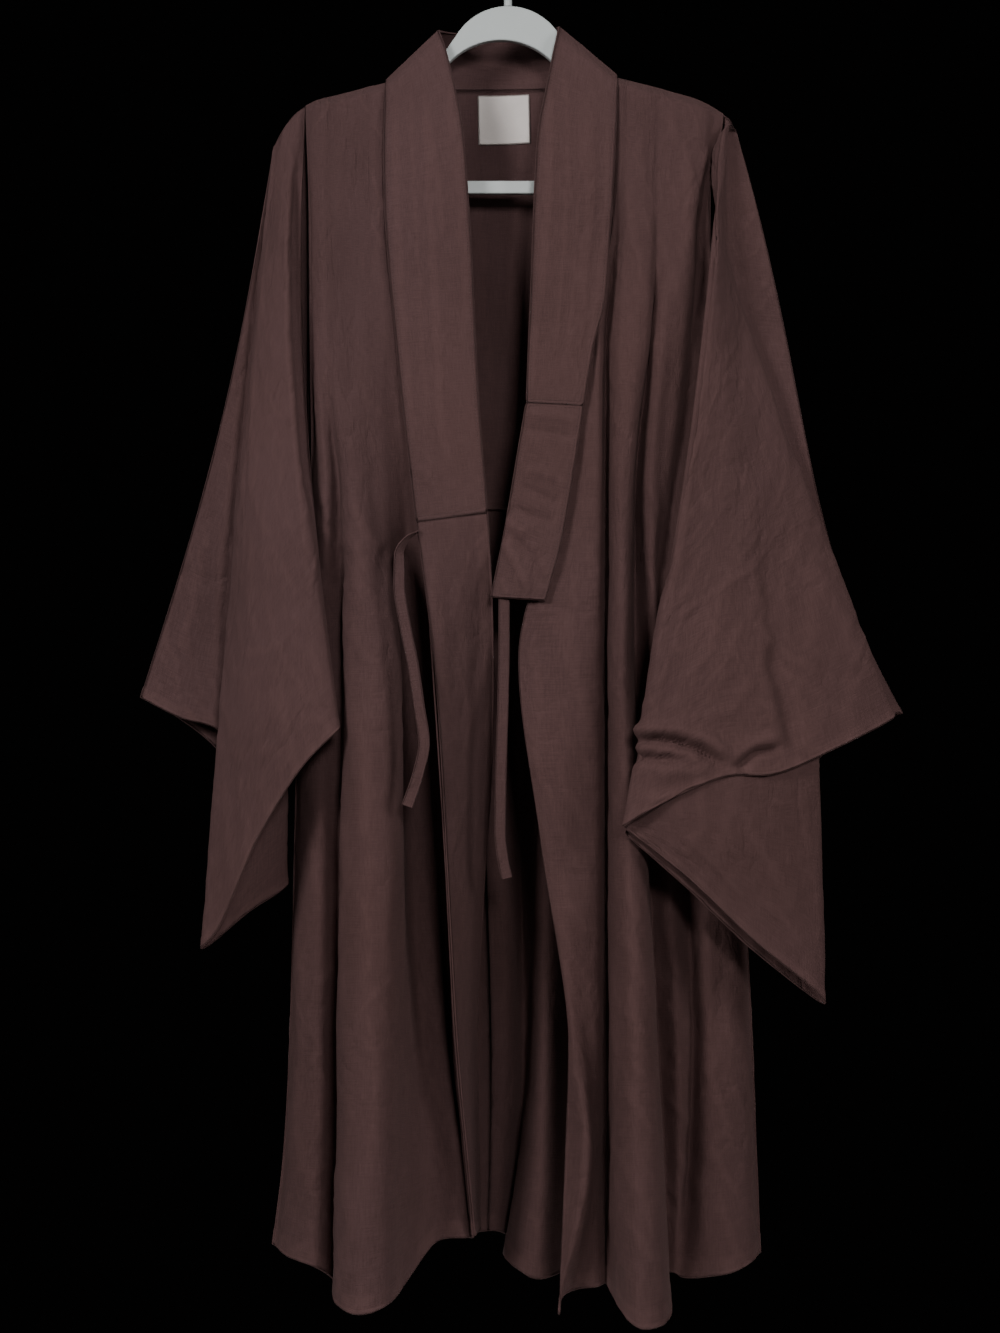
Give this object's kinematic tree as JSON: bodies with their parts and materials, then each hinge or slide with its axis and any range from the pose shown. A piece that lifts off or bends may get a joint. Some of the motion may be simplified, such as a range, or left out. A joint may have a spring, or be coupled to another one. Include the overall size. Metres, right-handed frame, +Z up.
{
  "type": "buddhist monk robe on a hanger",
  "caption": "Long open-fronted monk's robe with wide sleeves, collar bands and loose ties, hung on a one-piece plastic hanger.",
  "frame": {"origin": "inner top of the hanger's hook", "axes": "+Z up, +X to the wearer's left, -Y towards the open front"},
  "size_m": [0.7636, 0.236, 1.3598],
  "materials": {
    "cloth": "matt brown-maroon plain weave with light creases",
    "label": "bare pale woven label",
    "plastic": "smooth pale moulded plastic"
  },
  "bodies": {
    "root": {"back_panel_left": "cloth", "back_panel_right": "cloth", "back_yoke": "cloth", "collar_back": "cloth", "collar_band_left": "cloth", "collar_band_right": "cloth", "collar_end_left": "cloth", "front_panel_left": "cloth", "front_panel_right": "cloth", "front_strip_right": "cloth", "hanger_body": "plastic", "hanger_hook": "plastic", "label": "label", "sleeve_left_back": "cloth", "sleeve_left_bag": "cloth", "sleeve_left_front": "cloth", "sleeve_right_back": "cloth", "sleeve_right_front": "cloth", "tie_left": "cloth", "tie_right": "cloth"}
  },
  "joints": []
}
